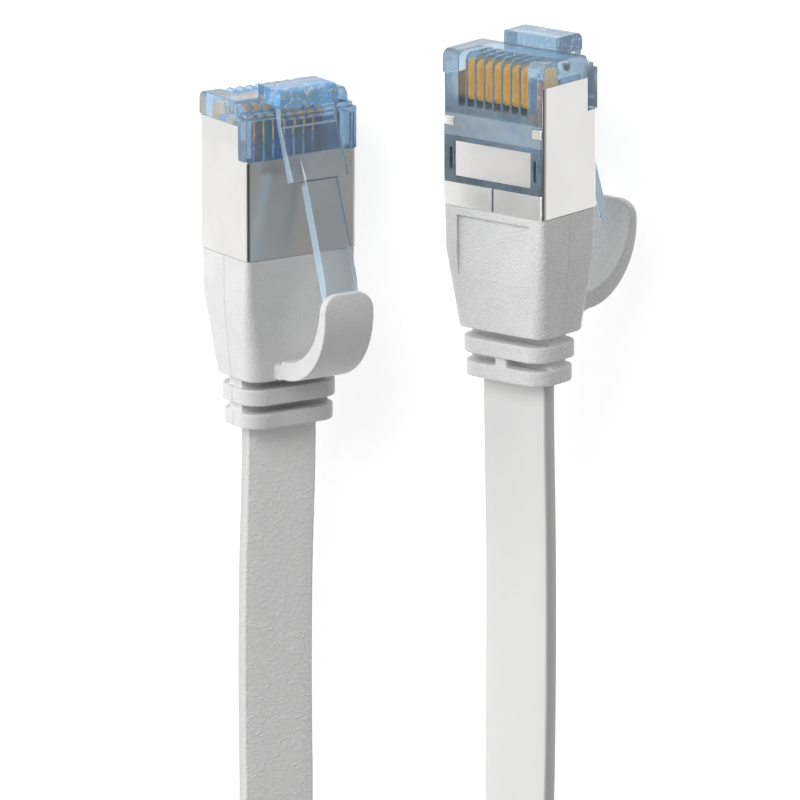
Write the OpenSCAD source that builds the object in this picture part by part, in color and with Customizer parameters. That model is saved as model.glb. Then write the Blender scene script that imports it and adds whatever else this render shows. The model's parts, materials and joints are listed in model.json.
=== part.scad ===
// Flat shielded network patch cable: two eight-way modular plugs on one flat lead.
// Row frame: +Z up, +Y the way the noses point, the cable resting on the plane z = 0.
// Plug frame: nose face at y = 0, plug running to -Y, latch on the +Z side, widths along X.
// Distances called "back" are measured from the nose face towards the cable.

/* [Plug] */
// Width of a plug
plug_w = 11.68; // [11.6:0.02:11.8]
// Thickness of a plug over its shield
plug_t = 7.95; // [7.9:0.01:8]
// Thickness of the nose, in front of the shoulders
nose_t = 6.5; // [6.4:0.05:6.6]
// Distance from the nose to the back of the shield
shield_end = 14.4; // [14.2:0.1:14.6]
// Thickness of the shield's sheet
sheet = 0.25; // [0.2:0.01:0.3]
// Spacing of the contacts
pitch = 1.016; // [1:0.004:1.02]
// Slope of the latch lever at rest
latch_slope = 19.5; // [18.5:0.5:19.5]

/* [Boot] */
// Distance from the nose to the end of the boot's body
boot_end = 25.8; // [25.6:0.1:26]
// Width of the release hook
hook_w = 5.2; // [4.8:0.1:5.4]
// How much further the right plug's hook bows out
right_bow = 2.4; // [2:0.1:2.4]

/* [Cable] */
// Width of the flat cable
cable_w = 7.2; // [7:0.1:7.2]
// Thickness of the flat cable
cable_t = 1.5; // [1.3:0.1:1.5]
// Inner radius of the coil
coil_in = 30.8; // [30:0.2:31]
// Outer radius of the coil
coil_out = 41.2; // [41:0.2:42]

/* [Hidden] */
$fn = 48;

gap = 0.02;              // assembly clearance between nested pieces
half_w = plug_w / 2;
half_t = plug_t / 2;
nose_top = nose_t - half_t;

// Housing
shoulder = 1.4;          // back to the shoulders
shield_front = 2.2;      // back to the shield's side edges
notch_end = 5.3;         // back to the shield's edge on the latch face
slot_w = 0.76;
slot_end = 5;
slot_high = -0.85;
cavity_w = 9.4;
cavity_low = -1.25;
cavity_high = 2.2;
block_w = 6.15;          // latch block, in front of the nose
block_front = -1.2;
block_back = 0.45;
block_low = 1.5;
block_top = 5.3;
block_r = 0.8;
tab_front = 6.1;         // shield tabs folded over the contact face
tab_end = 6.95;
tab_w = 1.4;
window_front = 8.3;      // window of the clamp plate
window_end = 11.6;
window_w = 8.7;
window_deep = 0.4;
band_front = 12.2;       // shield band across the contact face
seam_w = 0.16;

// Latch lever
latch_pivot = [1.1, 4.75];   // back, height
lever_t = 1;
lever_wide = 6;
lever_narrow = 3.4;
lever_step = 6.2;
lever_len = 17.3;
bar_from = 4;            // along the lever, to where its narrow bar starts

// Contacts and wires
blade_t = 0.5;
wire_r = 0.36;
wire_front = 1.9;
wire_bend = 13;
wire_meet = 21;
cable_pitch = 0.86;
bar_front = 7.6;
bar_end = 11.4;

// Boot
mold_w = 8.7;
mold_t = 4.7;
cable_front = 24;        // back to where the cable's jacket starts
slot_1 = [25.8, 26.7];
slot_2 = [28.2, 29];
relief_end = 30.4;
web_t = 2.2;             // the relief's spine, which carries the side webs
panel_front = 15.3;
panel_end = 20.7;
panel_w = 8.2;
panel_floor = 3.6;       // from the plug's middle to the floor of the name panel

// Release hook
hook_pivot = [25, 4.2];      // back, height
root_r = 0.62;
hook_out = [18.5, 4.9, 6.95];   // centre back, centre height, radius
hook_in = [17.5, 4.6, 6.3];
hook_tip = 16.45;
right_bow_back = -0.4;
tip_r = 1.6;

// Places of the plugs
left_at = [-16.3, 13.9, half_t];
right_at = [7.7, 15.3, 7.05];
right_roll = 108.4;

// Cable route: x, y, z and roll of the flat section, 0 flat and 90 on edge
lift = 0.3;              // the tie's thickness, under the coil
coil_at = [-8.4, -105.5];
left_route = [
    [-16.3, -10.1, 3.975, 0], [-16.3, -18, 3.975, 0], [-16.7, -32, 3.975, 0],
    [-16.7, -50, 3.975, 0], [-16.7, -54.2, 4.1, 0], [-16.6, -58, 5.3, 0],
    [-16.5, -61.5, 7.3, 0], [-16.4, -65, 8.4, 0], [-16.3, -70, 8.7, 0],
    [-16.3, -76, 8.5, 0], [-16.3, -81, 8, 8], [-16.3, -86, 7, 22], [-16.3, -91, 5.9, 40],
    [-16.3, -96, 5, 60], [-16.3, -101, 4.3, 76], [-16.3, -106, 4, 86],
    [-16.3, -111, 3.9, 90], [-15.2, -117.7, 3.9, 90], [-12, -123.5, 3.9, 90],
    [-6.9, -127.7, 3.9, 90], [-0.7, -130, 3.9, 90], [5.9, -130, 3.9, 90],
    [12.2, -127.7, 3.9, 90], [17.2, -123.5, 3.9, 90], [19.6, -120, 3.9, 90]
];
right_route = [
    [7.7, -8.7, 7.05, 71.6], [7.7, -17, 7.05, 71.6], [8, -32, 7, 71.6],
    [8, -48, 7, 71.6], [8, -55, 6.9, 73], [8.1, -59, 6.7, 77], [8.8, -62.8, 6.4, 81],
    [10.4, -66.9, 6, 85], [12.9, -70.5, 5.7, 88], [15.7, -73, 5.4, 90]
];

// ---------------------------------------------------------------- helpers

module on_left() translate(left_at) children();

module on_right() translate(right_at) rotate([0, right_roll, 0]) children();

// A box between two distances back and two heights, centred across the plug
module slab(w, from, to, low, high)
    translate([-w / 2, -to, low]) cube([w, to - from, high - low]);

// The same box, repeated on both sides of the plug between two widths
module side_slabs(inner, outer, from, to, low, high)
    for (side = [-1, 1])
        translate([side * (inner + outer) / 2, 0, 0])
            slab(outer - inner, from, to, low, high);

// A side view, drawn as back and height, given a width across the plug
module across(w) rotate([90, 0, -90]) linear_extrude(w, center = true) children();

// A front view, drawn as width and height, run from one distance back to another
module along(from, to)
    translate([0, -from, 0]) rotate([90, 0, 0]) linear_extrude(to - from) children();

module rounded(w, h, r) {
    square([w - 2 * r, h], center = true);
    square([w, h - 2 * r], center = true);
    for (x = [-1, 1], y = [-1, 1])
        translate([x * (w / 2 - r), y * (h / 2 - r)]) circle(r);
}

function unit(v) = v / norm(v);
function place(p) = [p[0], p[1], p[2]];
function heading(route, i) =
    unit(place(route[min(i + 1, len(route) - 1)]) - place(route[max(i - 1, 0)]));
function level(t) = unit(cross([0, 0, 1], t));
function ring(route, i, section) =
    let (t = heading(route, i), h = level(t), v = cross(t, h), r = route[i][3],
         wide = cos(r) * h + sin(r) * v, thin = cross(t, wide))
    [for (s = section) place(route[i]) + s[0] * wide + s[1] * thin];

// One closed tube of a section swept along a route
module sweep(route, section) {
    sides = len(section);
    rings = len(route);
    points = [for (i = [0:rings - 1]) each ring(route, i, section)];
    walls = [for (i = [0:rings - 2], k = [0:sides - 1])
        let (a = i * sides, n = (k + 1) % sides)
        each [[a + k, a + sides + k, a + n], [a + n, a + sides + k, a + sides + n]]];
    front = [for (k = [1:sides - 2]) [0, k, k + 1]];
    last = (rings - 1) * sides;
    back = [for (k = [1:sides - 2]) [last, last + k + 1, last + k]];
    polyhedron(points, concat(walls, front, back));
}

flat_section = let (x = cable_w / 2, y = cable_t / 2, c = 0.3)
    [[x, c - y], [x, y - c], [x - c, y], [c - x, y], [-x, y - c], [-x, c - y],
     [c - x, -y], [x - c, -y]];
wire_section = [for (k = [0:7]) wire_r * [cos(45 * k), sin(45 * k)]];

// ---------------------------------------------------------------- plug

module nose_profile() {
    r = 0.8;
    translate([r, r - half_t]) circle(r);
    translate([r, nose_top - r]) circle(r);
    translate([0, r - half_t]) square([2 * r, nose_t - 2 * r]);
    translate([r, -half_t]) square([shield_front - gap - r, nose_t]);
}

module block_profile() {
    translate([block_front + block_r, block_top - block_r]) circle(block_r);
    translate([block_front + block_r, block_low])
        square([block_back - block_front - block_r, block_top - block_low]);
    translate([block_front, block_low]) square([block_r, block_top - block_low - block_r]);
}

module contact_slots()
    for (i = [0:7])
        translate([(i - 3.5) * pitch, 0, 0])
            slab(slot_w, -1, slot_end, -plug_t, slot_high);

module housing() {
    core_w = plug_w - 2 * (sheet + gap);
    core_top = half_t - sheet - gap;
    color("SteelBlue")
    difference() {
        union() {
            across(plug_w) nose_profile();
            slab(plug_w, shoulder, shield_front - gap, 0, half_t);
            slab(plug_w, shoulder, notch_end - gap, nose_top + gap, half_t);
            slab(core_w, 1, band_front - gap, -half_t, core_top);
            slab(core_w, 1, shield_end, sheet + gap - half_t, core_top);
            across(block_w) block_profile();
        }
        slab(cavity_w, 1.8, shield_end + 1, cavity_low, cavity_high);
        contact_slots();
        side_slabs(half_w - tab_w - gap, half_w, tab_front - gap, tab_end + gap,
            -half_t - 1, sheet + gap - half_t);
        slab(window_w, window_front, window_end, -half_t - 1, window_deep - half_t);
        side_slabs(4.65, 4.95, 9, 11, -half_t - 1, 0.5 - half_t);
    }
}

module lever_plan() {
    c = 0.3;
    polygon([
        [-lever_wide / 2, 0], [lever_wide / 2, 0],
        [lever_wide / 2, lever_step - c], [lever_wide / 2 - c, lever_step],
        [c - lever_wide / 2, lever_step], [-lever_wide / 2, lever_step - c]
    ]);
}

// The narrow bar's side view, with its end thinned to pass under the hook
module bar_profile()
    polygon([
        [bar_from, -lever_t / 2], [lever_len - 0.3, -lever_t / 2], [lever_len, -0.2],
        [lever_len, 0.2], [15.5, 0.6], [lever_step, 0.6], [bar_from, lever_t / 2]
    ]);

module latch()
    color("LightSteelBlue")
    translate([0, -latch_pivot[0], latch_pivot[1]]) {
        rotate([0, 90, 0]) cylinder(h = lever_wide, r = lever_t / 2, center = true);
        rotate([-latch_slope, 0, 0]) {
            translate([0, 0, -lever_t / 2])
                rotate([0, 0, 180])
                    linear_extrude(lever_t) lever_plan();
            across(lever_narrow) bar_profile();
        }
    }

module blade_profile()
    polygon([
        [0.85, -0.9], [0.85, -2.6], [1.3, -3.15], [4.1, -3.15], [4.6, -2.7], [4.6, -0.9],
        [3.9, -0.9], [3.6, -0.42], [3.3, -0.9], [2.7, -0.9], [2.4, -0.42], [2.1, -0.9]
    ]);

module contacts()
    color("Goldenrod")
    for (i = [0:7])
        translate([(i - 3.5) * pitch, 0, 0])
            across(blade_t) blade_profile();

module shield() {
    far = 20;
    color("Silver")
    difference() {
        along(shield_front, shield_end) difference() {
            rounded(plug_w, plug_t, 0.45);
            square([plug_w - 2 * sheet, plug_t - 2 * sheet], center = true);
        }
        slab(far, 0, notch_end, nose_top, far);
        slab(plug_w - 2 * sheet, 0, tab_front, -far, 0);
        slab(plug_w - 2 * tab_w, 0, band_front, -far, 0);
        slab(plug_w - 2 * sheet, tab_end, band_front, -far, 0);
        slab(seam_w, band_front - 1, shield_end + 1, -far, 0);
    }
}

module clamp_plate() {
    rim = gap;
    color("WhiteSmoke")
    slab(window_w - 2 * rim, window_front + rim, window_end - rim,
        0.05 - half_t, window_deep - rim - half_t);
}

module load_bar()
    color("LightBlue")
    difference() {
        slab(cavity_w - 4 * gap, bar_front, bar_end, cavity_low + gap, cavity_high - gap);
        for (i = [0:7])
            translate([(i - 3.5) * pitch, -bar_front + 1, 0])
                rotate([90, 0, 0]) cylinder(h = bar_end, r = wire_r + gap);
    }

module wires(slots, shade)
    color(shade)
    for (i = slots) {
        x = (i - 4.5) * pitch;
        inner = (i - 4.5) * cable_pitch;
        sweep([[x, -wire_front, 0, 0], [x, -wire_bend, 0, 0], [inner, -wire_meet, 0, 0],
            [inner, -cable_front, 0, 0]], wire_section);
    }

module foil_screen()
    color("Gainsboro")
    difference() {
        slab(8.4, 14.6, 23.8, -0.6, 0.6);
        slab(8.2, 14, 24, -0.5, 0.5);
    }

module inner_mold()
    color("Beige")
    difference() {
        slab(mold_w, shield_end + gap, cable_front, -mold_t / 2, mold_t / 2);
        slab(8.5, 14, 25, -0.65, 0.65);
    }

// ---------------------------------------------------------------- boot

module boot_slice(back, w, low, high, r)
    along(back, back + 0.01) translate([0, (low + high) / 2]) rounded(w, high - low, r);

module boot_body() {
    waist = 18.5;
    hull() {
        boot_slice(shield_end + gap, 11.6, -3.92, 3.92, 0.5);
        boot_slice(waist, 11.6, -3.9, 3.9, 0.7, $fn = 32);
    }
    hull() {
        boot_slice(waist, 11.6, -3.9, 3.9, 0.7, $fn = 32);
        boot_slice(boot_end, 10.2, -3.2, 3.5, 1.4, $fn = 32);
    }
}

module relief_rings() {
    along(boot_end - 0.2, relief_end) rounded(8.4, web_t, 0.4);
    side_slabs(3.8, 4.6, boot_end - 0.2, relief_end, -web_t / 2, web_t / 2);
    along(slot_1[1], slot_2[0]) rounded(10, 6.1, 2);
    along(slot_2[1], relief_end) rounded(9.7, 5.8, 2);
    slab(1.3, slot_1[1], relief_end, -2.75, 0);
}

module boot() {
    passage_w = cable_w + 3 * gap;
    passage_t = cable_t + 3 * gap;
    color("White")
    difference() {
        union() {
            boot_body();
            relief_rings();
        }
        slab(mold_w + 2 * gap, shield_end - 1, cable_front + gap,
            -mold_t / 2 - gap, mold_t / 2 + gap);
        slab(passage_w, cable_front, relief_end + 1, -passage_t / 2, passage_t / 2);
        slab(panel_w, panel_front, panel_end, -half_t, -panel_floor);
    }
}

// The hook's side view: a tapered bow on a root. Bow is how much further back and out it lies.
module hook_profile(bow) {
    base = hook_in[1] + bow[1];
    translate(bow)
        intersection() {
            difference() {
                translate([hook_out[0], hook_out[1]]) circle(hook_out[2], $fn = 96);
                translate([hook_in[0], hook_in[1]]) circle(hook_in[2], $fn = 96);
            }
            polygon([[hook_tip, 9], [hook_tip, 13], [27, 13], [27, hook_in[1]],
                [20, hook_in[1]]]);
        }
    polygon([
        [hook_pivot[0] - root_r, hook_pivot[1]],
        [hook_pivot[0] + root_r, hook_pivot[1]],
        [hook_out[0] + hook_out[2] + bow[0], base + 0.1],
        [hook_in[0] + hook_in[2] + bow[0], base + 0.1]
    ]);
    translate(hook_pivot) circle(root_r);
}

module hook(bow) {
    long = 12;
    color("White")
    intersection() {
        across(hook_w) hook_profile(bow);
        translate([0, -hook_tip - bow[0] - long / 2, 0])
            linear_extrude(20) rounded(hook_w, long, tip_r);
    }
}

// ---------------------------------------------------------------- cable

module left_lead() color("WhiteSmoke") sweep(left_route, flat_section);

module right_lead() color("WhiteSmoke") sweep(right_route, flat_section);

module cable_coil()
    color("WhiteSmoke")
    translate([coil_at[0], coil_at[1], lift])
        rotate_extrude($fn = 120)
            translate([coil_in, 0]) square([coil_out - coil_in, cable_w]);

module coil_tie() {
    strap = lift - gap;
    color("DimGray")
    translate([coil_at[0], coil_at[1], 0])
        rotate([0, 0, 218])
            rotate_extrude(angle = 14, $fn = 120)
                difference() {
                    translate([coil_in - lift, 0])
                        square([coil_out - coil_in + 2 * lift, cable_w + 2 * lift]);
                    translate([coil_in - gap, strap])
                        square([coil_out - coil_in + 2 * gap, cable_w + 2 * gap]);
                }
}

// ---------------------------------------------------------------- assembly

on_left() housing();  // left_housing
on_left() latch();  // left_latch
on_left() contacts();  // left_contacts
on_left() shield();  // left_shield
on_left() clamp_plate();  // left_clamp_plate
on_left() load_bar();  // left_load_bar
on_left() wires([1, 2], "Orange");  // left_orange_pair
on_left() wires([3, 6], "Green");  // left_green_pair
on_left() wires([4, 5], "RoyalBlue");  // left_blue_pair
on_left() wires([7, 8], "SaddleBrown");  // left_brown_pair
on_left() foil_screen();  // left_foil_screen
on_left() inner_mold();  // left_inner_mold
on_left() boot();  // left_boot
on_left() hook([0, 0]);  // left_hook

on_right() housing();  // right_housing
on_right() latch();  // right_latch
on_right() contacts();  // right_contacts
on_right() shield();  // right_shield
on_right() clamp_plate();  // right_clamp_plate
on_right() load_bar();  // right_load_bar
on_right() wires([1, 2], "Orange");  // right_orange_pair
on_right() wires([3, 6], "Green");  // right_green_pair
on_right() wires([4, 5], "RoyalBlue");  // right_blue_pair
on_right() wires([7, 8], "SaddleBrown");  // right_brown_pair
on_right() foil_screen();  // right_foil_screen
on_right() inner_mold();  // right_inner_mold
on_right() boot();  // right_boot
on_right() hook([right_bow_back, right_bow]);  // right_hook

left_lead();
cable_coil();
right_lead();
coil_tie();
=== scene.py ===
"""The looks of the ethernet patch cable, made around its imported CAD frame.

Blender works in metres. Sizes are written in millimetres and scaled by MM.
A plug is drawn in its own frame: the nose faces +Y, the latch is on +Z, and X runs across it.
"""
import json
import math

import bmesh
import bpy
import numpy as np
from mathutils import Matrix, Vector


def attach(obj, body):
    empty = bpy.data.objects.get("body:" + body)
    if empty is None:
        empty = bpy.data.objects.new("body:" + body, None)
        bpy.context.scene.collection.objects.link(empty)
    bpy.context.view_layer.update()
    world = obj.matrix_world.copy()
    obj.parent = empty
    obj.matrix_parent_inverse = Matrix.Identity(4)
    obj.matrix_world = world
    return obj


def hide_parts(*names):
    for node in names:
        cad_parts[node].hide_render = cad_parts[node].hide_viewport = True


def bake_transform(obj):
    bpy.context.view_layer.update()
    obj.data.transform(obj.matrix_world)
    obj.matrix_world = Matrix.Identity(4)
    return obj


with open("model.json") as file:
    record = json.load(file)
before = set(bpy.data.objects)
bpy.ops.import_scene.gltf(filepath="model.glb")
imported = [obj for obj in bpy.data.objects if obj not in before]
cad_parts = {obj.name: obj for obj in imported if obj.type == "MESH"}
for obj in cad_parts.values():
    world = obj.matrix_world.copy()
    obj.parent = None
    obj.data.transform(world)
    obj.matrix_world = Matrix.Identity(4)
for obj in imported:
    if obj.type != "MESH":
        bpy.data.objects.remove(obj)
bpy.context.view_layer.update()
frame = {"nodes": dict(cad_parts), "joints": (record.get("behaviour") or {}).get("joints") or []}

MM = 0.001
SIDES = ("left", "right")
NODES = frame["nodes"]

# Sizes and places in a plug's own frame, in millimetres
HOOK_PIVOT = Vector((0, -25, 4.2))
BLOCK_BACK = -0.45              # the latch block's back face and underside
BLOCK_LOW = 2.6
BAR_FRONT = 5.6                 # the thick bar behind the contact slots: front, back and depth
BAR_BACK = 7.9
BAR_DEEP = -3.4
BAR_SHALLOW = -2.8
CREASE = 2.2                    # where the latch's tongue turns into its slope
CABLE_W = 7.2
CABLE_T = 1.5
CABLE_CORNER = 0.25

WELD_GAP = 0.001                # vertices closer than this become one

POLYCARBONATE_IOR = 1.58


# ---------------------------------------------------------------- places

def joint(name):
    return next(j for j in frame["joints"] if j["name"] == name)


def plug_place(side):
    """The matrix from a plug's own frame, in millimetres, to the row frame."""
    hook = joint(f"{side}_hook_press")
    across = Vector(hook["axis"]).normalized()
    ahead = Vector((0, 1, 0))
    turn = Matrix((across, ahead, across.cross(ahead))).transposed()
    origin = Vector(hook["pos_m"]) - turn @ HOOK_PIVOT * MM
    return Matrix.Translation(origin) @ turn.to_4x4() @ Matrix.Scale(MM, 4)


PLACES = {side: plug_place(side) for side in SIDES}


def link(name, mesh, material):
    """A new object in the scene, made of one mesh and one material."""
    mesh.name = name
    mesh.materials.clear()
    mesh.materials.append(material)
    piece = bpy.data.objects.new(name, mesh)
    bpy.context.scene.collection.objects.link(piece)
    return piece


def applied(mesh, add_modifiers):
    """The mesh after the modifiers that add_modifiers puts on it."""
    piece = bpy.data.objects.new("work", mesh)
    bpy.context.scene.collection.objects.link(piece)
    add_modifiers(piece)
    depsgraph = bpy.context.evaluated_depsgraph_get()
    made = bpy.data.meshes.new_from_object(piece.evaluated_get(depsgraph))
    bpy.data.objects.remove(piece)
    return made


def keep_places(mesh, name, places):
    """Stores a place for each vertex, so that a texture keeps to the piece as it moves."""
    attribute = mesh.attributes.new(name, "FLOAT_VECTOR", "POINT")
    attribute.data.foreach_set("vector", np.asarray(places, np.float32).ravel())


def shade_smooth(mesh):
    mesh.polygons.foreach_set("use_smooth", [True] * len(mesh.polygons))


# ---------------------------------------------------------------- node trees

class Graph:
    """A short way to write node trees."""

    def __init__(self, tree):
        self.tree = tree

    def node(self, kind, inputs=None, **settings):
        made = self.tree.nodes.new("ShaderNode" + kind)
        for name, value in settings.items():
            setattr(made, name, value)
        for name, value in (inputs or {}).items():
            socket = made.inputs[name]
            if isinstance(value, bpy.types.NodeSocket):
                self.tree.links.new(value, socket)
            else:
                socket.default_value = value
        return made

    def math(self, operation, a, b=0.0, clamp=False):
        return self.node("Math", {0: a, 1: b}, operation=operation, use_clamp=clamp).outputs[0]

    def step(self, value, start, end, low=0.0, high=1.0):
        """Value eased from low at start to high at end."""
        return self.node("MapRange", {"Value": value, "From Min": start, "From Max": end,
                                      "To Min": low, "To Max": high},
                         interpolation_type="SMOOTHSTEP").outputs[0]

    def ramp(self, value, stops):
        made = self.node("ValToRGB", {"Fac": value})
        points = made.color_ramp.elements
        while len(points) < len(stops):
            points.new(0.5)
        for point, (place, colour) in zip(points, stops):
            point.position = place
            point.color = (*colour, 1)
        return made.outputs["Color"]

    def mix(self, factor, a, b):
        made = self.node("Mix", data_type="RGBA")
        for socket, value in ((made.inputs[0], factor), (made.inputs[6], a), (made.inputs[7], b)):
            if isinstance(value, bpy.types.NodeSocket):
                self.tree.links.new(value, socket)
            elif isinstance(value, (int, float)):
                socket.default_value = value
            else:
                socket.default_value = (*value, 1)
        return made.outputs[2]

    def noise(self, where, scale, detail=2.0, rough=0.5, distortion=0.0):
        return self.node("TexNoise", {"Vector": where, "Scale": scale, "Detail": detail,
                                      "Roughness": rough, "Distortion": distortion}).outputs["Fac"]


def grey(level):
    return (level, level, level)


def new_material(name):
    material = bpy.data.materials.new(name)
    material.use_nodes = True
    material.node_tree.nodes.clear()
    return material, Graph(material.node_tree)


def principled(g, inputs):
    shader = g.node("BsdfPrincipled", inputs)
    g.node("OutputMaterial", {"Surface": shader.outputs[0]})


def bump(g, height, distance, strength):
    return g.node("Bump", {"Height": height, "Distance": distance, "Strength": strength}).outputs[0]


def in_mm(g, where):
    """A place in metres as one in millimetres, for textures on small parts."""
    return g.node("VectorMath", {0: where, 1: (1 / MM,) * 3}, operation="MULTIPLY").outputs[0]


# ---------------------------------------------------------------- camera, light and floor

VIEW_TURN = math.radians(33)
VIEW_RISE = math.radians(14)
VIEW_ACROSS = 72.07                 # millimetres from edge to edge of the picture
VIEW_AIM = (-0.56, -17.27, 9.95)    # right, up and towards the camera
VIEW_DISTANCE = 1000


def make_camera():
    """Looks down on both plugs from the left and a little ahead of their noses."""
    right = Vector((math.cos(VIEW_TURN), 0, math.sin(VIEW_TURN)))
    back = Vector((-math.sin(VIEW_TURN) * math.cos(VIEW_RISE), math.sin(VIEW_RISE),
                   math.cos(VIEW_TURN) * math.cos(VIEW_RISE)))
    up = back.cross(right)
    data = bpy.data.cameras.new("camera")
    data.lens = data.sensor_width * VIEW_DISTANCE / VIEW_ACROSS
    data.clip_start = 0.05
    data.clip_end = 20
    camera = bpy.data.objects.new("camera", data)
    bpy.context.scene.collection.objects.link(camera)
    aim = VIEW_AIM[0] * right + VIEW_AIM[1] * up + VIEW_AIM[2] * back
    place = Matrix((right, up, back)).transposed().to_4x4()
    place.translation = (aim + VIEW_DISTANCE * back) * MM
    camera.matrix_world = place
    bpy.context.scene.camera = camera


# Brightness round the sky, from the left horizon over the top to the right one
SKY = ((0.0, 0.95), (0.11, 0.95), (0.16, 0.07), (0.42, 0.05), (0.53, 0.30), (0.74, 0.40),
       (0.86, 0.86), (1.0, 0.88))
HORIZON = 0.85

# The key lamp's and the floor's sizes are in metres, the gap in millimetres
KEY_PLACE = Vector((-0.75, 0.55, 0.45))
KEY_SIZE = 0.6
KEY_POWER = 6.5
FLOOR_REACH = 6
FLOOR_GAP = 0.02


def make_sky():
    """Long soft boxes low on the left and right, and a darker ceiling between them."""
    world = bpy.data.worlds.new("studio")
    world.use_nodes = True
    bpy.context.scene.world = world
    world.node_tree.nodes.clear()
    g = Graph(world.node_tree)
    way = g.node("SeparateXYZ", {0: g.node("TexCoord").outputs["Generated"]}).outputs
    turn = g.math("ARCTAN2", way["Z"], g.math("MULTIPLY", way["X"], -1))
    sky = g.ramp(g.math("DIVIDE", turn, math.pi, clamp=True), [(p, grey(v)) for p, v in SKY])
    along = g.step(g.math("ABSOLUTE", way["Y"]), 0.85, 0.98)
    colour = g.mix(along, sky, grey(HORIZON))
    light = g.node("Background", {"Color": colour})
    g.node("OutputWorld", {"Surface": light.outputs[0]})


def make_key_lamp():
    """A square soft box on the left, above the plugs and beyond their noses."""
    data = bpy.data.lights.new("key", "AREA")
    data.shape = "RECTANGLE"
    data.size = data.size_y = KEY_SIZE
    data.energy = KEY_POWER
    lamp = bpy.data.objects.new("key", data)
    bpy.context.scene.collection.objects.link(lamp)
    lamp.location = KEY_PLACE
    lamp.rotation_euler = KEY_PLACE.to_track_quat("Z", "Y").to_euler()


def floor_material():
    """A pale sheet of lit acrylic, with a very slight mottle."""
    material, g = new_material("pale_floor")
    where = g.node("TexCoord").outputs["Object"]
    mottle = g.noise(where, 30, 3)
    shade = g.ramp(mottle, [(0.3, grey(0.90)), (0.7, grey(0.92))])
    principled(g, {"Base Color": shade, "Roughness": 0.6, "Emission Color": (1, 1, 1, 1),
                   "Emission Strength": 0.62})
    return material


def make_floor():
    builder = bmesh.new()
    bmesh.ops.create_grid(builder, x_segments=1, y_segments=1, size=FLOOR_REACH)
    mesh = bpy.data.meshes.new("floor")
    builder.to_mesh(mesh)
    builder.free()
    floor = link("floor", mesh, floor_material())
    floor.location.z = -FLOOR_GAP * MM


def make_stage():
    bpy.context.scene.view_settings.view_transform = "Standard"
    make_sky()
    make_key_lamp()
    make_floor()


# ---------------------------------------------------------------- materials

def jacket_material():
    """Soft white jacket: one face lightly wrinkled by the extruder's belt, the other smooth. The
    wrinkled face is painted lighter, with painted highlights on its crests, the smooth face is
    painted darker, and the rolled edges are darkened with painted shade.
    """
    material, g = new_material("white_jacket")
    place = g.node("Attribute", attribute_name="along_cable").outputs["Vector"]
    axes = g.node("SeparateXYZ", {0: place}).outputs
    belt = g.step(axes["Z"], -0.5, 0.6, 0.1, 1)
    turned = g.node("Mapping", {"Vector": place, "Rotation": (0, 0, math.radians(-45)),
                                "Scale": (1.1, 1.7, 1)}).outputs[0]
    crest = g.step(g.noise(turned, 1.9, 2, 0.5, 0.4), 0.48, 0.66)
    fine = g.noise(place, 9, 2)
    height = g.math("MULTIPLY", g.math("ADD", crest, g.math("MULTIPLY", fine, 0.1)), belt)
    # Painted light: the smooth face is painted darker and the wrinkled face lighter, with painted
    # highlights on its crests
    smooth = g.mix(fine, (0.73, 0.73, 0.725), (0.75, 0.75, 0.745))
    wrinkled = g.mix(crest, (0.88, 0.88, 0.875), (0.93, 0.93, 0.925))
    # Painted shade: the rolled edges are darkened towards black
    side = g.step(g.math("ABSOLUTE", axes["X"]), 3.3, 3.55)
    shade = g.mix(g.math("MULTIPLY", side, 0.3), g.mix(belt, smooth, wrinkled), (0, 0, 0))
    principled(g, {"Base Color": shade, "Roughness": 0.34,
                   "Normal": bump(g, height, 0.05 * MM, 0.7)})
    return material


def parting_line(g, place):
    """1 along the middle of a boot's two sides, where the halves of its mould met."""
    axes = g.node("SeparateXYZ", {0: place}).outputs
    outer = g.step(g.math("ABSOLUTE", axes["X"]), 4.4, 4.6)
    middle = g.step(g.math("ABSOLUTE", axes["Z"]), 0.05, 0.13, 1, 0)
    return g.math("MULTIPLY", outer, middle)


def boot_material(name, tone_and_painted_light, coarse):
    """White moulded elastomer with a spark-eroded grain and a fine parting line."""
    material, g = new_material(name)
    place = g.node("Attribute", attribute_name="plug_place").outputs["Vector"]
    grain = g.noise(place, 4.8, 1, 0.5)
    cloud = g.noise(place, 0.35, 2)
    # The tone carries painted light: it is set lighter for the right boot
    shade = g.mix(g.step(cloud, 0.3, 0.7), grey(tone_and_painted_light), grey(tone_and_painted_light + 0.03))
    # Painted shade: the pits of the grain are darkened
    painted_pit_shade = g.mix(0.10 * coarse, shade, (0, 0, 0))
    shade = g.mix(g.step(grain, 0.38, 0.60), painted_pit_shade, shade)
    seam = g.math("MULTIPLY", parting_line(g, place), 0.4)
    height = g.math("ADD", g.math("MULTIPLY", grain, coarse), seam)
    principled(g, {"Base Color": shade, "Roughness": 0.5,
                   "Normal": bump(g, height, 0.15 * MM, 1.0)})
    return material


def nickel_material(name, tone_and_painted_light):
    """Bright nickel-plated sheet, with the faint grain of the rolled metal under it."""
    material, g = new_material(name)
    place = in_mm(g, g.node("TexCoord").outputs["Object"])
    rolled = g.node("Mapping", {"Vector": place, "Scale": (1, 0.06, 1)}).outputs[0]
    grain = g.noise(rolled, 14, 3)
    cloud = g.noise(place, 0.22, 3)
    # The tone carries painted light: it is set lighter for the right sheet and darker for the left
    shade = g.mix(g.step(cloud, 0.3, 0.7), (tone_and_painted_light, tone_and_painted_light - 0.005, tone_and_painted_light - 0.015),
                  (tone_and_painted_light + 0.05, tone_and_painted_light + 0.045, tone_and_painted_light + 0.035))
    rough = g.step(cloud, 0.25, 0.75, 0.20, 0.27)
    principled(g, {"Base Color": shade, "Metallic": 1.0, "Roughness": rough,
                   "Normal": bump(g, grain, 0.01 * MM, 0.25)})
    return material


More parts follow.
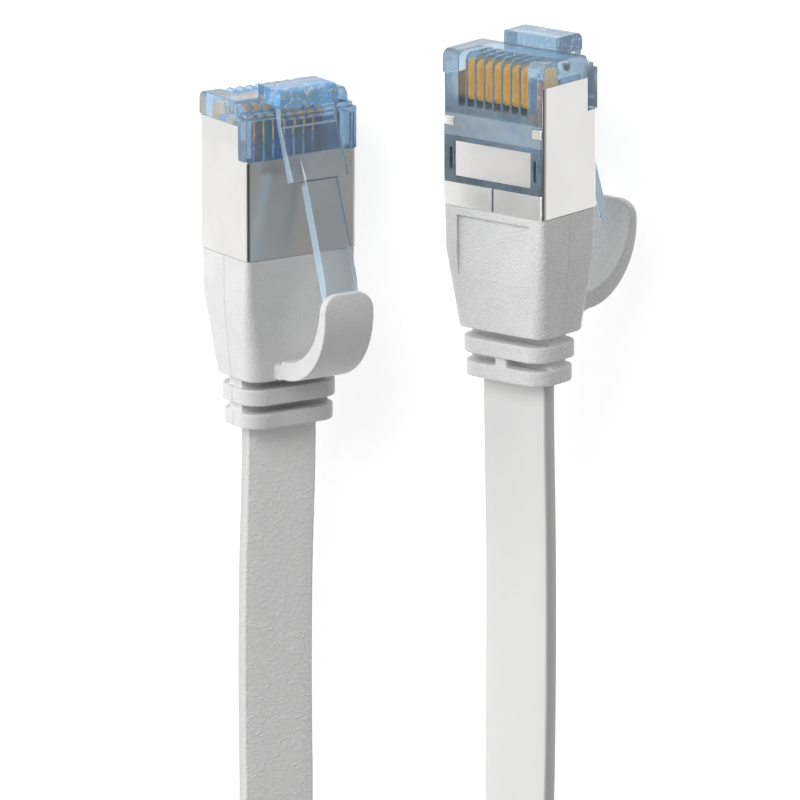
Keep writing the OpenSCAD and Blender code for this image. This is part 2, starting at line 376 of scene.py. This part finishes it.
def gold_material():
    """Gold plate over brass, brushed across by the comb that cut the blades.

    It gives off some light, because too little reaches it through the blue plastic.
    """
    material, g = new_material("gold_contact")
    place = in_mm(g, g.node("TexCoord").outputs["Object"])
    brushed = g.node("Mapping", {"Vector": place, "Scale": (1, 0.15, 1)}).outputs[0]
    lines = g.noise(brushed, 12, 2)
    shade = g.mix(g.step(lines, 0.35, 0.65), (0.80, 0.30, 0.03), (1.0, 0.50, 0.11))
    principled(g, {"Base Color": shade, "Metallic": 0.75, "Roughness": 0.30,
                   "Emission Color": shade, "Emission Strength": 0.8,
                   "Normal": bump(g, lines, 0.01 * MM, 0.3)})
    return material


def in_plug(g, side):
    """A CAD part's surface place in its plug's own frame, in millimetres."""
    move, turn, scale = PLACES[side].decompose()
    where = g.node("TexCoord").outputs["Object"]
    return g.node("Mapping", {"Vector": where, "Location": move, "Rotation": turn.to_euler(),
                              "Scale": scale}, vector_type="TEXTURE").outputs[0]


def etched(g, place):
    """1 on the latch block, whose mould is etched with a swirl, and 0 elsewhere."""
    axes = g.node("SeparateXYZ", {0: place}).outputs
    ahead = g.step(axes["Y"], BLOCK_BACK - 0.1, BLOCK_BACK + 0.1)
    above = g.step(axes["Z"], BLOCK_LOW - 0.1, BLOCK_LOW + 0.1)
    return g.math("MULTIPLY", ahead, above)


def flow_marks(g, place):
    """The faint waves that the melt leaves in a moulded clear part."""
    return g.noise(place, 0.45, 3, 0.5, 0.6)


def thick_bar(g, place):
    """1 in the thick bar between the contact slots and the clamp window, and 0 elsewhere."""
    axes = g.node("SeparateXYZ", {0: place}).outputs
    front = g.step(axes["Y"], -BAR_FRONT, -BAR_FRONT - 0.3)
    back = g.step(axes["Y"], -BAR_BACK, -BAR_BACK + 0.15)
    low = g.step(axes["Z"], BAR_DEEP, BAR_SHALLOW, 1, 0)
    return g.math("MULTIPLY", g.math("MULTIPLY", front, back), low)


def housing_material(name, side, tint, block, haze):
    """Blue polycarbonate: slightly milky in clouds, and frosted on the latch block.

    The clear parts take the colour tint, and the frosted block takes the colour block.
    """
    material, g = new_material(name)
    place = in_plug(g, side)
    frost = etched(g, place)
    swirl = g.noise(place, 0.9, 4, 0.62, 2.5)
    cloud = g.step(g.noise(place, 0.4, 2, 0.5), 0.3, 0.7, 0.8, 1.2)
    milk = g.math("MULTIPLY", cloud, haze)
    bar = thick_bar(g, place)
    milk = g.math("ADD", milk, g.math("MULTIPLY", bar, 0.2))
    streak = g.math("MULTIPLY", g.step(swirl, 0.5, 0.66), frost)
    milk = g.math("ADD", milk, g.math("MULTIPLY", streak, 0.2))
    clear = g.math("SUBTRACT", 1.0, g.step(frost, 0, 1, 0, 0.2))
    clear = g.math("SUBTRACT", clear, milk, clamp=True)
    deep = g.mix(frost, tint, block)
    pale = tuple(0.5 * c + 0.45 for c in tint)
    shade = g.mix(streak, deep, pale)
    shade = g.mix(g.math("MULTIPLY", bar, 0.6), shade, pale)
    height = g.math("ADD", flow_marks(g, place), g.math("MULTIPLY", swirl, frost))
    principled(g, {"Base Color": shade, "Transmission Weight": clear, "IOR": POLYCARBONATE_IOR,
                   "Roughness": g.step(frost, 0, 1, 0.05, 0.26),
                   "Normal": bump(g, height, 0.12 * MM, 0.4)})
    return material


def hinge_highlight(g, place):
    """1 along the line across the lever's top where its slope starts, where a highlight is painted.
    """
    axes = g.node("SeparateXYZ", {0: place}).outputs
    line = g.step(g.math("ABSOLUTE", g.math("ADD", axes["Y"], CREASE)), 0.05, 0.12, 1, 0)
    return g.math("MULTIPLY", line, g.step(axes["Z"], 4.9, 5.1))


def latch_material(name, side):
    """Clear polycarbonate, with the drafted side walls of the lever left hazy by the mould, and a
    painted highlight along the line where its slope starts.
    """
    material, g = new_material(name)
    place = g.node("Attribute", attribute_name="plug_place").outputs["Vector"]
    across = PLACES[side].to_3x3() @ Vector((1 / MM, 0, 0))
    facing = g.node("VectorMath", {0: g.node("TexCoord").outputs["Normal"], 1: across},
                    operation="DOT_PRODUCT").outputs["Value"]
    wall_haze_and_highlight = g.step(g.math("ABSOLUTE", facing), 0.5, 0.9)
    # Painted highlight: the line where the slope starts is made pale and hazy like the walls
    wall_haze_and_highlight = g.math("MAXIMUM", wall_haze_and_highlight, hinge_highlight(g, place))
    shade = g.mix(wall_haze_and_highlight, (0.84, 0.92, 0.99), (0.62, 0.80, 0.95))
    clear = g.math("SUBTRACT", 0.97, g.math("MULTIPLY", wall_haze_and_highlight, 0.42))
    principled(g, {"Base Color": shade, "Transmission Weight": clear, "IOR": POLYCARBONATE_IOR,
                   "Roughness": g.step(wall_haze_and_highlight, 0, 1, 0.04, 0.22),
                   "Normal": bump(g, flow_marks(g, place), 0.06 * MM, 0.3)})
    return material


def load_bar_material():
    """Natural polycarbonate, a little milky, with the melt's flow marks."""
    material, g = new_material("load_bar_plastic")
    place = in_mm(g, g.node("TexCoord").outputs["Object"])
    marks = flow_marks(g, place)
    shade = g.mix(g.step(marks, 0.4, 0.6), (0.88, 0.92, 0.95), (0.94, 0.96, 0.97))
    principled(g, {"Base Color": shade, "Transmission Weight": 0.75, "IOR": POLYCARBONATE_IOR,
                   "Roughness": 0.12, "Normal": bump(g, marks, 0.06 * MM, 0.3)})
    return material


def insulation_material(name, tint):
    """Polyethylene wire insulation, slightly waxy, with a drawn surface."""
    material, g = new_material(name)
    place = in_mm(g, g.node("TexCoord").outputs["Object"])
    drawn = g.node("Mapping", {"Vector": place, "Scale": (1, 0.1, 1)}).outputs[0]
    lines = g.noise(drawn, 6, 2)
    light = tuple(min(1.0, c * 1.25 + 0.02) for c in tint)
    shade = g.mix(g.step(lines, 0.35, 0.65), tint, light)
    principled(g, {"Base Color": shade, "Roughness": 0.4,
                   "Normal": bump(g, lines, 0.02 * MM, 0.3)})
    return material


def foil_material():
    """Crinkled aluminium foil."""
    material, g = new_material("foil")
    place = in_mm(g, g.node("TexCoord").outputs["Object"])
    crinkle = g.noise(place, 2.5, 4, 0.6, 0.8)
    shade = g.mix(g.step(crinkle, 0.4, 0.6), (0.80, 0.80, 0.81), (0.90, 0.90, 0.91))
    principled(g, {"Base Color": shade, "Metallic": 1.0, "Roughness": 0.3,
                   "Normal": bump(g, crinkle, 0.15 * MM, 0.6)})
    return material


def mold_material():
    """Cream low-pressure moulding compound."""
    material, g = new_material("inner_mold_plastic")
    place = in_mm(g, g.node("TexCoord").outputs["Object"])
    cloud = g.noise(place, 0.8, 3)
    shade = g.mix(g.step(cloud, 0.3, 0.7), (0.74, 0.69, 0.56), (0.80, 0.76, 0.64))
    principled(g, {"Base Color": shade, "Roughness": 0.5,
                   "Normal": bump(g, cloud, 0.05 * MM, 0.3)})
    return material


def tie_material():
    """Woven hook-and-loop strap."""
    material, g = new_material("tie_strap")
    place = in_mm(g, g.node("TexCoord").outputs["Object"])
    loops = g.noise(place, 5, 3, 0.7)
    shade = g.mix(g.step(loops, 0.35, 0.65), (0.05, 0.05, 0.055), (0.11, 0.11, 0.12))
    principled(g, {"Base Color": shade, "Roughness": 0.85, "Sheen Weight": 0.4,
                   "Normal": bump(g, loops, 0.15 * MM, 0.9)})
    return material


MATERIALS = {
    "white_jacket": jacket_material(),
    # Painted light: the right boot gets a lighter tone than the left, though both are one white
    # elastomer
    "left_boot": boot_material("left_white_boot", 0.67, 0.4),
    "right_boot": boot_material("right_white_boot", 0.75, 0.7),
    # Painted light: the right sheet gets a lighter tone and the left a darker one, though both are
    # one nickel
    "left_nickel": nickel_material("left_nickel_sheet", 0.68),
    "right_nickel": nickel_material("right_nickel_sheet", 0.89),
    "gold_contact": gold_material(),
    "left_housing": housing_material("left_blue_plastic", "left", (0.49, 0.745, 1.0),
                                     (0.20, 0.56, 1.0), 0.18),
    "right_housing": housing_material("right_blue_plastic", "right", (0.54, 0.75, 0.93),
                                      (0.32, 0.52, 0.74), 0.20),
    "left_latch": latch_material("left_latch_plastic", "left"),
    "right_latch": latch_material("right_latch_plastic", "right"),
    "clear_plastic": load_bar_material(),
    "orange_wire": insulation_material("orange_wire", (0.85, 0.22, 0.03)),
    "green_wire": insulation_material("green_wire", (0.04, 0.30, 0.08)),
    "blue_wire": insulation_material("blue_wire", (0.04, 0.12, 0.50)),
    "brown_wire": insulation_material("brown_wire", (0.25, 0.05, 0.02)),
    "foil": foil_material(),
    "inner_mold_plastic": mold_material(),
    "tie_strap": tie_material(),
}


# ---------------------------------------------------------------- cable

# Points along each end of the cable: x, y, z, and the roll of its wide side in degrees
LEFT_ROUTE = [
    [-16.3, -10.1, 3.975, 0], [-16.3, -18, 3.975, 0], [-16.7, -32, 3.975, 0],
    [-16.7, -50, 3.975, 0], [-16.7, -54.2, 4.1, 0], [-16.6, -58, 5.3, 0],
    [-16.5, -61.5, 7.3, 0], [-16.4, -65, 8.4, 0], [-16.3, -70, 8.7, 0],
    [-16.3, -76, 8.5, 0], [-16.3, -81, 8, 8], [-16.3, -86, 7, 22], [-16.3, -91, 5.9, 40],
    [-16.3, -96, 5, 60], [-16.3, -101, 4.3, 76], [-16.3, -106, 4, 86],
    [-16.3, -111, 3.9, 90], [-15.2, -117.7, 3.9, 90], [-12, -123.5, 3.9, 90],
    [-6.9, -127.7, 3.9, 90], [-0.7, -130, 3.9, 90], [5.9, -130, 3.9, 90],
    [12.2, -127.7, 3.9, 90], [17.2, -123.5, 3.9, 90], [19.6, -120, 3.9, 90]
]
RIGHT_ROUTE = [
    [7.7, -8.7, 7.05, 71.6], [7.7, -17, 7.05, 71.6], [8, -32, 7, 71.6],
    [8, -48, 7, 71.6], [8, -55, 6.9, 73], [8.1, -59, 6.7, 77], [8.8, -62.8, 6.4, 81],
    [10.4, -66.9, 6, 85], [12.9, -70.5, 5.7, 88], [15.7, -73, 5.4, 90]
]
COIL_CENTRE = (-8.4, -105.5)
COIL_INNER = (31.55, -27.4)         # radius, and angle in degrees
COIL_OUTER = (40.45, 53.4)
COIL_TURNS = 3
COIL_REST = 3.9                     # the height of its middle line
COIL_RISE = 1.5                     # how far it climbs over its last COIL_RISE_ANGLE degrees
COIL_RISE_ANGLE = 90
COIL_POINT_ANGLE = 9
CABLE_STEP = 1.0
JACKET_CORNER_POINTS = 5
JACKET_SHARP_ANGLE = 50


def coil_route():
    """The coil's turns on edge, from its inner end out to where the right end joins it."""
    sweep = 360 * COIL_TURNS + COIL_OUTER[1] - COIL_INNER[1]
    steps = round(sweep / COIL_POINT_ANGLE)
    points = []
    for k in range(1, steps):
        part = k / steps
        angle = math.radians(COIL_INNER[1] + sweep * part)
        radius = COIL_INNER[0] + (COIL_OUTER[0] - COIL_INNER[0]) * part
        climb = max(0.0, 1 - (1 - part) * sweep / COIL_RISE_ANGLE)
        points.append([COIL_CENTRE[0] + radius * math.cos(angle),
                       COIL_CENTRE[1] + radius * math.sin(angle),
                       COIL_REST + COIL_RISE * climb * climb, 90])
    return points


def whole_route():
    """Every point of the cable from the left boot to the right one."""
    back = [[x, y, z, 180 - roll] for x, y, z, roll in reversed(RIGHT_ROUTE)]
    return np.array(LEFT_ROUTE + coil_route() + back, float)


def curve_through(points, step):
    """Points spaced by step on a smooth curve through the given ones."""
    gaps = np.linalg.norm(np.diff(points[:, :3], axis=0), axis=1)
    knots = np.concatenate([[0], np.cumsum(gaps)])
    slopes = np.diff(points, axis=0) / gaps[:, None]
    middle = slopes[:-1] * gaps[1:, None] + slopes[1:] * gaps[:-1, None]
    middle /= (gaps[:-1] + gaps[1:])[:, None]
    tangents = np.vstack([slopes[:1], middle, slopes[-1:]])
    at = np.linspace(0, knots[-1], round(knots[-1] / step) + 1)
    i = np.clip(np.searchsorted(knots, at, "right") - 1, 0, len(gaps) - 1)
    h = gaps[i][:, None]
    t = (at - knots[i])[:, None] / h
    return ((2 * t**3 - 3 * t**2 + 1) * points[i] + (t**3 - 2 * t**2 + t) * h * tangents[i]
            + (3 * t**2 - 2 * t**3) * points[i + 1] + (t**3 - t**2) * h * tangents[i + 1])


def unit(rows):
    return rows / np.linalg.norm(rows, axis=1)[:, None]


def jacket_section():
    """The jacket's outline: a flat strip with rounded corners."""
    points = []
    for turn, (sx, sy) in enumerate(((1, 1), (-1, 1), (-1, -1), (1, -1))):
        for k in range(JACKET_CORNER_POINTS):
            angle = math.radians(90 * turn + 90 * k / (JACKET_CORNER_POINTS - 1))
            points.append([sx * (CABLE_W / 2 - CABLE_CORNER) + CABLE_CORNER * math.cos(angle),
                           sy * (CABLE_T / 2 - CABLE_CORNER) + CABLE_CORNER * math.sin(angle)])
        if sx == sy:
            points += [[sx * CABLE_W * share, sy * CABLE_T / 2] for share in (0.25, 0, -0.25)]
    return np.array(points)


def sweep_section(centre, section):
    """A ring of the section at each point of the centre line, turned by the roll there."""
    place = centre[:, :3]
    ahead = unit(np.gradient(place, axis=0))
    level = unit(np.cross([0, 0, 1], ahead))
    over = np.cross(ahead, level)
    roll = np.radians(centre[:, 3])[:, None]
    wide = np.cos(roll) * level + np.sin(roll) * over
    thin = np.cross(ahead, wide)
    return (place[:, None] + section[None, :, :1] * wide[:, None]
            + section[None, :, 1:] * thin[:, None])


def make_cable():
    """The jacketed lead in one piece: left end, coil and right end."""
    centre = curve_through(whole_route(), CABLE_STEP)
    section = jacket_section()
    rings = sweep_section(centre, section)
    count, sides = rings.shape[:2]
    faces = []
    for i in range(count - 1):
        for k in range(sides):
            n = (k + 1) % sides
            a, b = i * sides, (i + 1) * sides
            faces.append((a + k, a + n, b + n, b + k))
    faces.append(tuple(reversed(range(sides))))
    faces.append(tuple(range((count - 1) * sides, count * sides)))
    mesh = bpy.data.meshes.new("cable")
    mesh.from_pydata((rings.reshape(-1, 3) * MM).tolist(), [], faces)
    gaps = np.linalg.norm(np.diff(centre[:, :3], axis=0), axis=1)
    run = np.concatenate([[0], np.cumsum(gaps)])
    along = np.zeros((count, sides, 3))
    along[:, :, 0] = section[None, :, 0]
    along[:, :, 1] = run[:, None]
    along[:, :, 2] = section[None, :, 1]
    keep_places(mesh, "along_cable", along.reshape(-1, 3))
    shade_smooth(mesh)
    mesh.set_sharp_from_angle(angle=math.radians(JACKET_SHARP_ANGLE))
    cable = link("cable_jacket", mesh, MATERIALS["white_jacket"])
    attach(cable, "cable")
    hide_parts("left_lead", "cable_coil", "right_lead")


# ---------------------------------------------------------------- boots

HOOK_W = 5.2
# A side view of the piece that fills the hook's root: points of back and height
HOOK_ROOT = [(24.2, 2.7), (25.7, 2.7), (25.62, 4.3), (24.38, 4.3)]
BOOT_VOXEL = 0.1
BOOT_EASE_TIMES = 4
BOOT_SHARP_ANGLE = 60
PANEL_FRONT = 15.2              # the recessed panel on the boot's contact side
PANEL_END = 20.8
PANEL_W = 8.35
PANEL_FLOOR = -3.59
PANEL_REACH = 2                 # how far its cutter stands out


def add_outline(builder, outline, width):
    """A side view, drawn as points of back and height, given a width across the plug."""
    sides = [[builder.verts.new((x, -back, up)) for back, up in outline]
             for x in (-width / 2, width / 2)]
    builder.faces.new(sides[0])
    builder.faces.new(reversed(sides[1]))
    for k in range(len(outline)):
        n = (k + 1) % len(outline)
        builder.faces.new((sides[0][n], sides[0][k], sides[1][k], sides[1][n]))


def in_plug_frame(node, side):
    """A CAD node's shape in its plug's own frame, in millimetres."""
    mesh = NODES[node].data.copy()
    mesh.transform(PLACES[side].inverted())
    return mesh


def panel_cutter():
    """A box that cuts the edges of the recessed panel sharp again after the remesh."""
    builder = bmesh.new()
    centre = Vector((0, -(PANEL_FRONT + PANEL_END) / 2, PANEL_FLOOR - PANEL_REACH / 2))
    size = Vector((PANEL_W, PANEL_END - PANEL_FRONT, PANEL_REACH))
    bmesh.ops.create_cube(builder, size=1, matrix=Matrix.LocRotScale(centre, None, size))
    mesh = bpy.data.meshes.new("panel")
    builder.to_mesh(mesh)
    builder.free()
    cutter = bpy.data.objects.new("panel", mesh)
    bpy.context.scene.collection.objects.link(cutter)
    return cutter


def boot_shape(side):
    """The boot and its hook run into one solid, with every edge eased but the panel's."""
    builder = bmesh.new()
    for part in ("boot", "hook"):
        builder.from_mesh(in_plug_frame(f"{side}_{part}", side))
    add_outline(builder, HOOK_ROOT, HOOK_W)
    bmesh.ops.remove_doubles(builder, verts=builder.verts, dist=WELD_GAP)
    bmesh.ops.recalc_face_normals(builder, faces=builder.faces)
    mesh = bpy.data.meshes.new("boot")
    builder.to_mesh(mesh)
    builder.free()

    def remesh_and_ease(piece):
        remesh = piece.modifiers.new("remesh", "REMESH")
        remesh.mode = "VOXEL"
        remesh.voxel_size = BOOT_VOXEL
        ease = piece.modifiers.new("ease", "SMOOTH")
        ease.factor = 0.5
        ease.iterations = BOOT_EASE_TIMES
        cut = piece.modifiers.new("cut", "BOOLEAN")
        cut.operation = "DIFFERENCE"
        cut.solver = "MANIFOLD"
        cut.object = cutter

    cutter = panel_cutter()
    made = applied(mesh, remesh_and_ease)
    bpy.data.objects.remove(cutter)
    return made


def make_boot(side):
    """The boot with its hook, as one piece in its plug's place."""
    mesh = boot_shape(side)
    keep_places(mesh, "plug_place", [v.co for v in mesh.vertices])
    mesh.transform(PLACES[side])
    shade_smooth(mesh)
    mesh.set_sharp_from_angle(angle=math.radians(BOOT_SHARP_ANGLE))
    boot = link(f"{side}_boot_and_hook", mesh, MATERIALS[f"{side}_boot"])
    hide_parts(f"{side}_boot", f"{side}_hook")
    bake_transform(boot)


# ---------------------------------------------------------------- latches

LEVER_START = (1.1, 4.75)       # back and height of the first point of its middle line
LEVER_SLOPE = math.radians(19.5)
LEVER_WIDE = 6                  # the plate's width, and the bar's
LEVER_NARROW = 3.4
LEVER_STEP = 6.2                # where the plate ends, along the lever
LEVER_EDGE = 0.07
LEVER_EDGE_ANGLE = 30
TONGUE_BACK = 0.4               # where the tongue leaves the block
TONGUE_TOP = 5.2
TONGUE_UNDER = 4.25


def on_lever(along, off):
    """Back and height of a point given along the lever and off its middle line."""
    cos, sin = math.cos(LEVER_SLOPE), math.sin(LEVER_SLOPE)
    return (LEVER_START[0] + along * cos - off * sin, LEVER_START[1] + along * sin + off * cos)


def bending(start, end, count=5):
    """Points spread evenly from start to end, giving the hinge there more points."""
    return [tuple(np.array(start) + (np.array(end) - start) * k / count) for k in range(count)]


def plate_outline():
    """The wide plate: a straight tongue out of the block, then the sloping part."""
    top, crease = (TONGUE_BACK, TONGUE_TOP), (CREASE, TONGUE_TOP)
    under = (TONGUE_BACK, TONGUE_UNDER)
    tip = [on_lever(LEVER_STEP, 0.42), on_lever(LEVER_STEP, -0.5)]
    return (bending(top, crease) + [crease] + tip
            + bending(on_lever(0.9, -0.5), under) + [under])


def bar_outline():
    """The narrow bar, which rises out of the plate and thins where it passes under the hook."""
    return [on_lever(*p) for p in ((3.6, 0.2), (LEVER_STEP, 0.6), (15.5, 0.6), (17.3, 0.2),
                                   (17.3, -0.2), (17, -0.5), (3.9, -0.42))]


def solid(outline, width):
    """A mesh of one side view, given a width across the plug."""
    builder = bmesh.new()
    add_outline(builder, outline, width)
    bmesh.ops.recalc_face_normals(builder, faces=builder.faces)
    mesh = bpy.data.meshes.new("solid")
    builder.to_mesh(mesh)
    builder.free()
    return mesh


def latch_shape():
    """The plate and the bar joined into one solid with eased edges."""
    bar = bpy.data.objects.new("bar", solid(bar_outline(), LEVER_NARROW))
    bpy.context.scene.collection.objects.link(bar)

    def join_and_round(piece):
        join = piece.modifiers.new("join", "BOOLEAN")
        join.operation = "UNION"
        join.solver = "MANIFOLD"
        join.object = bar
        add_bevel(piece, LEVER_EDGE, LEVER_EDGE_ANGLE)

    mesh = applied(solid(plate_outline(), LEVER_WIDE), join_and_round)
    bpy.data.objects.remove(bar)
    return mesh


def make_latch(side):
    """The latch, as one piece in its plug's place."""
    mesh = latch_shape()
    keep_places(mesh, "plug_place", [v.co for v in mesh.vertices])
    mesh.transform(PLACES[side])
    latch = link(f"{side}_sprung_latch", mesh, MATERIALS[f"{side}_latch"])
    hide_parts(f"{side}_latch")
    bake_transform(latch)


# ---------------------------------------------------------------- CAD parts with a better finish

BEVEL_SEGMENTS = 3
NODE_EDGE_ANGLE = 35
FLAT_ANGLE = 0.5


def add_bevel(piece, width, angle):
    """Rounds the sharp edges of a piece, by width in the units of its mesh."""
    bevel = piece.modifiers.new("bevel", "BEVEL")
    bevel.width = width
    bevel.segments = BEVEL_SEGMENTS
    bevel.limit_method = "ANGLE"
    bevel.angle_limit = math.radians(angle)
    bevel.use_clamp_overlap = False
    normals = piece.modifiers.new("normals", "WEIGHTED_NORMAL")
    normals.keep_sharp = True


def finish_node(name, material, edge):
    """Rounds the edges of a CAD part by edge millimetres and gives it its material."""
    node = NODES[name]
    node.material_slots[0].material = MATERIALS[material]
    shade_smooth(node.data)
    weld = node.modifiers.new("weld", "WELD")
    weld.merge_threshold = WELD_GAP * MM
    flat = node.modifiers.new("flat", "DECIMATE")
    flat.decimate_type = "DISSOLVE"
    flat.angle_limit = math.radians(FLAT_ANGLE)
    if edge:
        add_bevel(node, edge * MM, NODE_EDGE_ANGLE)


def finish_plug(side):
    """Each CAD part of a plug that stays, with its material and the rounding of its edges."""
    for part, material, edge in (
            ("housing", f"{side}_housing", 0.08), ("contacts", "gold_contact", 0.05),
            ("shield", f"{side}_nickel", 0.06), ("clamp_plate", f"{side}_nickel", 0.06),
            ("load_bar", "clear_plastic", 0), ("foil_screen", "foil", 0),
            ("orange_pair", "orange_wire", 0), ("green_pair", "green_wire", 0),
            ("blue_pair", "blue_wire", 0), ("brown_pair", "brown_wire", 0),
            ("inner_mold", "inner_mold_plastic", 0.1)):
        finish_node(f"{side}_{part}", material, edge)


make_camera()
make_cable()
make_stage()
for side in SIDES:
    make_boot(side)
    make_latch(side)
    finish_plug(side)
finish_node("coil_tie", "tie_strap", 0.08)

bpy.context.view_layer.update()
